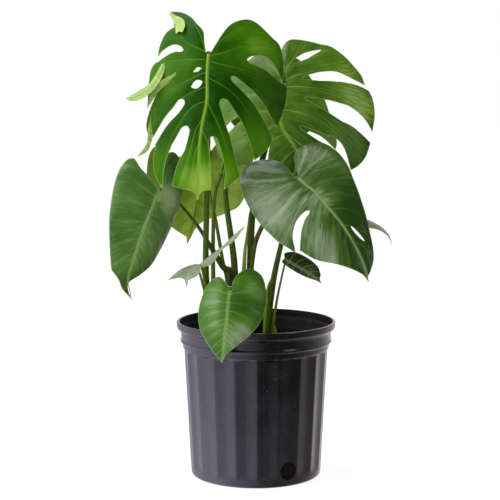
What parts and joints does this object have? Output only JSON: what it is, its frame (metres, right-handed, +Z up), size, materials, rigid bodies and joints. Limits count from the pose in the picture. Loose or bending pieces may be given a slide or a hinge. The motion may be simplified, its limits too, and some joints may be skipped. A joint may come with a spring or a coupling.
{
  "type": "potted swiss cheese plant",
  "caption": "Monstera houseplant with split and whole glossy leaves on long stalks, growing in a round black ribbed nursery pot.",
  "frame": {"origin": "middle of the flat underside of the pot, on the surface it stands on", "axes": "+Z up along the pot's axis, the best view of the plant from -Y, +X to that viewer's right"},
  "size_m": [0.4379, 0.3156, 0.725],
  "materials": {
    "black_plastic": "satin, moulded",
    "potting_soil": "matt, crumbly",
    "stalk_green": "smooth",
    "blade_bright": "satin",
    "blade_dark": "glossy",
    "blade_pale": "matt underside"
  },
  "bodies": {
    "root": {"pot": "black_plastic", "soil": "potting_soil", "shoot_left": "stalk_green", "shoot_middle": "stalk_green", "shoot_right": "stalk_green", "shoot_outer": "stalk_green", "leaf_a": "blade_bright", "leaf_b": "blade_bright", "leaf_c": "blade_dark", "leaf_e": "blade_dark", "leaf_f": "blade_bright", "leaf_g": "blade_pale", "leaf_h": "blade_pale", "leaf_i": "blade_pale", "leaf_i_upper": "blade_pale", "leaf_j": "blade_dark", "leaf_k": "blade_pale", "leaf_spear": "blade_pale"}
  },
  "joints": []
}
